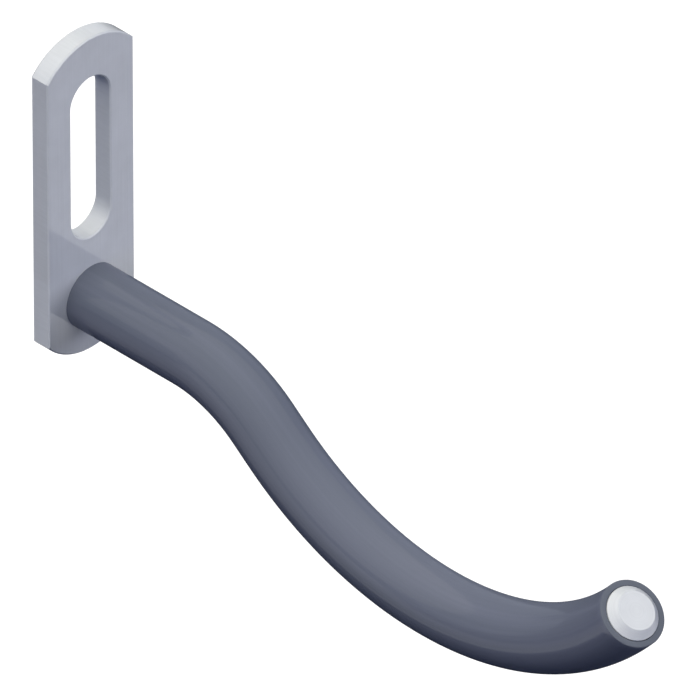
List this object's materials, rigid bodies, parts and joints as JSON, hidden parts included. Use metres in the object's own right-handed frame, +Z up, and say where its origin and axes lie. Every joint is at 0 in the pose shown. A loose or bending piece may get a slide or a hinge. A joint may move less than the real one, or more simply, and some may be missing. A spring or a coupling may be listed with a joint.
{
  "type": "pegboard hook",
  "caption": "Screw-on pegboard hook: slotted steel plate with arched ends and a bent steel rod in a dark plastic sleeve, curving down and up again to a bare chamfered tip.",
  "frame": {"origin": "middle of the screw slot on the plate's back face, the face that lies on the board", "axes": "+X across the plate, +Y out of the plate's back into the board, +Z up; the hook reaches out along -Y"},
  "size_m": [0.0168, 0.1126, 0.0667],
  "materials": {
    "plated_steel_plate": "satin",
    "plated_steel_rod": "satin",
    "plastic_sleeve": "satin"
  },
  "bodies": {
    "root": {"mounting_plate": "plated_steel_plate", "hook_rod": "plated_steel_rod", "rod_sleeve": "plastic_sleeve"}
  },
  "joints": []
}
